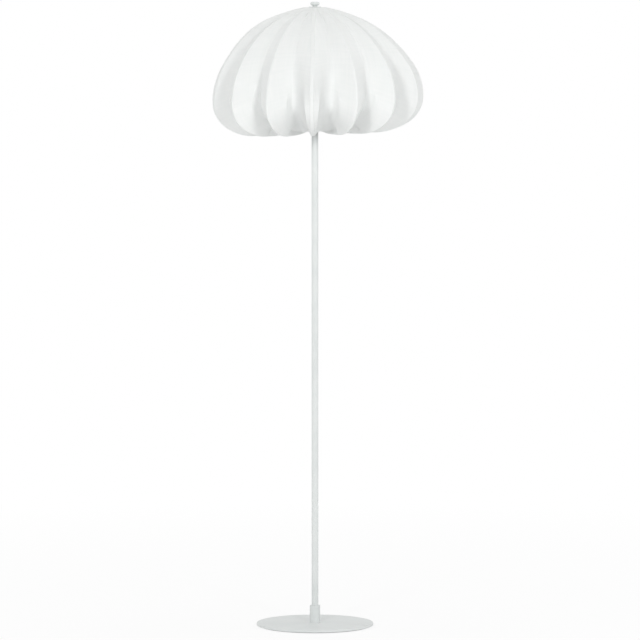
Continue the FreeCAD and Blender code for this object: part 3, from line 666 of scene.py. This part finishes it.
def roundRing(name, shape, slotName, replaced=()):
    # an eased section carried round a circle, which may wander in and out and up and down a little
    angle = np.linspace(0, 2 * math.pi, ringSteps["round"], endpoint=False)[:, None]
    across, rise = easedSection(ringSteps["section"], shape["power"])
    out = across[None, :] * shape["width"] / 2 + shape["waveOut"] * np.sin(shape["waves"] * angle + 1)
    up = rise[None, :] * shape["height"] / 2 + shape["waveUp"] * np.sin(shape["waves"] * angle)
    radius, height = shape["radius"] + out, mouthHeight + shape["lift"] + up
    points = np.stack([radius * np.cos(angle), radius * np.sin(angle), height], axis=-1)
    return gridPiece(name, settled(points), slotName, "shade", replaced, wrapAlong=True)


cloth, clothPoints = shadeCloth()
shadeRibs()
roundRing("mouthRing", ringShape, "rib_steel", ("mouth_ring",))
hem = roundRing("mouthHem", hemShape, "shade_fabric")
lines = np.linalg.norm(np.diff(clothPoints, axis=0), axis=2).sum(axis=0)
print("shade: cloth grid", clothPoints.shape, "longest line in mm", round(float(lines.max())))


def heightRange(node):
    # lowest and highest point of a CAD node in mm
    low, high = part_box(node)
    return low.z / mm, high.z / mm


plateShape = {"radius": 140.0, "low": 2.0, "high": 7.0, "underEase": 0.4, "topEase": 1.1,
              "screwHole": 4.05, "screwHead": 7.55, "headRim": 0.6}


def basePlate():
    # a turned plate with the countersunk seat of its screw in the underside
    plate = plateShape
    radius, low, high = plate["radius"], plate["low"], plate["high"]
    hole, head = plate["screwHole"], plate["screwHead"]
    rim = low + plate["headRim"]
    outline = easedCorners([(head, low, 0), (radius, low, plate["underEase"]),
                            (radius, high, plate["topEase"]), (hole, high, 0),
                            (hole, rim + head - hole, 0), (head, rim, 0)])
    turnedPiece("basePlate", outline, "powder_coat", "stand", ("base_plate",), 192)


poleShape = {"radius": 8.0, "bore": 6.8, "ease": 0.25}


def poleTube(name, node):
    low, high = heightRange(node)
    radius, bore, ease = poleShape["radius"], poleShape["bore"], poleShape["ease"]
    outline = easedCorners([(radius, low, ease), (radius, high, ease), (bore, high, 0), (bore, low, 0)])
    turnedPiece(name, outline, "powder_coat", "stand", (node,))


# rimPower below 1 makes the button's rim blunter than a half circle
finialShape = {"radius": 11.0, "rimPower": 0.32, "steps": 25, "neck": 6.0, "neckHeight": 2.6,
               "bore": 4.4, "boreHeight": 7.5}


def finialKnob():
    # a button with a blunt rounded rim on a short neck, and a blind bore for the insert
    knob = finialShape
    low, high = heightRange("finial")
    neck, bore = knob["neck"], knob["bore"]
    boreTop, neckTop = low + knob["boreHeight"], low + knob["neckHeight"]
    middle, half = (neckTop + high) / 2, (high - neckTop) / 2
    rise = np.linspace(-0.5, 0.5, knob["steps"])[:, None] * math.pi
    width = knob["radius"] * np.cos(rise) ** knob["rimPower"]
    rim = np.concatenate([width, middle + half * np.sin(rise)], axis=1)
    rim = rim[rim[:, 0] > np.where(rise[:, 0] < 0, neck, 0)]
    foot = [(0, boreTop), (bore, boreTop), (bore, low), (neck, low), (neck, neckTop)]
    outline = np.concatenate([foot, rim, [(0, high)]])
    turnedPiece("finialKnob", outline, "powder_coat", "finial", ("finial",), closed=False)


washerShape = {"radius": 15.0, "hole": 3.08, "ease": 0.2, "topEase": 0.4}


def clampWasher():
    low, high = heightRange("clamp_washer")
    radius, hole, ease = washerShape["radius"], washerShape["hole"], washerShape["ease"]
    outline = easedCorners([(hole, low, 0), (radius, low, ease), (radius, high, washerShape["topEase"]),
                            (hole, high, ease)])
    turnedPiece("clampWasher", outline, "powder_coat", "shade", ("clamp_washer",))


basePlate()
poleTube("lowerPole", "lower_pole")
poleTube("upperPole", "upper_pole")
finialKnob()
clampWasher()
print("base, pole and finial")


# the globe ends at flareStart, in degrees above its middle; the rises are above the screw cap's rim
bulbShape = {"globe": 30.0, "centreRise": 49.0, "globeSteps": 40, "flareStart": -42, "flareRise": 12.0,
             "flareSteps": 14, "neck": 12.4, "neckRise": 6.0}
# the thread starts plainEnd mm from the cap's ends and has its full depth fullFrom mm from them
capShape = {"outer": 13.2, "wall": 0.6, "pitch": 3.6, "threadDepth": 0.45, "plainEnd": 2, "fullFrom": 4,
            "steps": 70}


def bulbGlobe():
    # the neck, a flare in one smooth curve out to the globe, and the globe
    bulb = bulbShape
    capFoot, rim = heightRange("bulb_screw_cap")
    low = capFoot + capShape["wall"]
    rise = np.radians(np.linspace(bulb["flareStart"], 90, bulb["globeSteps"]))
    ball = bulb["globe"] * np.stack([np.cos(rise), np.sin(rise)], axis=1) + [0, rim + bulb["centreRise"]]
    start = np.array([bulb["neck"], rim + bulb["neckRise"]])
    knee = np.array([bulb["neck"], rim + bulb["flareRise"]])
    t = np.linspace(0, 1, bulb["flareSteps"], endpoint=False)[:, None]
    flare = start * (1 - t) ** 2 + knee * 2 * t * (1 - t) + ball[0] * t ** 2
    outline = np.concatenate([[(0, low), (bulb["neck"], low)], flare, ball])
    outline[-1, 0] = 0
    turnedPiece("bulbGlobe", outline, "opal_glass", "bulb", ("bulb_glass",), closed=False)


def bulbCap():
    # rolled thread: the wall moves in by threadDepth (1 - cos(2 pi z / pitch - a)) / 2 between plain ends
    cap = capShape
    low, high = heightRange("bulb_screw_cap")
    floor = low + cap["wall"]
    heights = np.linspace(low, high, cap["steps"])
    outside = np.stack([0 * heights + cap["outer"], heights], axis=1)
    inside = np.stack([0 * heights + cap["outer"] - cap["wall"] - cap["threadDepth"], heights[::-1]], axis=1)
    inside[-1, 1] = floor
    outline = np.concatenate([[(0, low)], outside, inside, [(0, floor)]])

    def rolled(angle, radius, height):
        plain, full = cap["plainEnd"], cap["fullFrom"]
        held = inAndOut(height, (low + plain, low + full), (high - full, high - plain))
        groove = (1 - np.cos(2 * math.pi * height / cap["pitch"] - angle)) / 2
        return -cap["threadDepth"] * groove * held * (radius == cap["outer"])
    turnedPiece("bulbCap", outline, "bulb_cap", "bulb", ("bulb_screw_cap",), closed=False, ripple=rolled)


bulbGlobe()
bulbCap()
print("bulb")
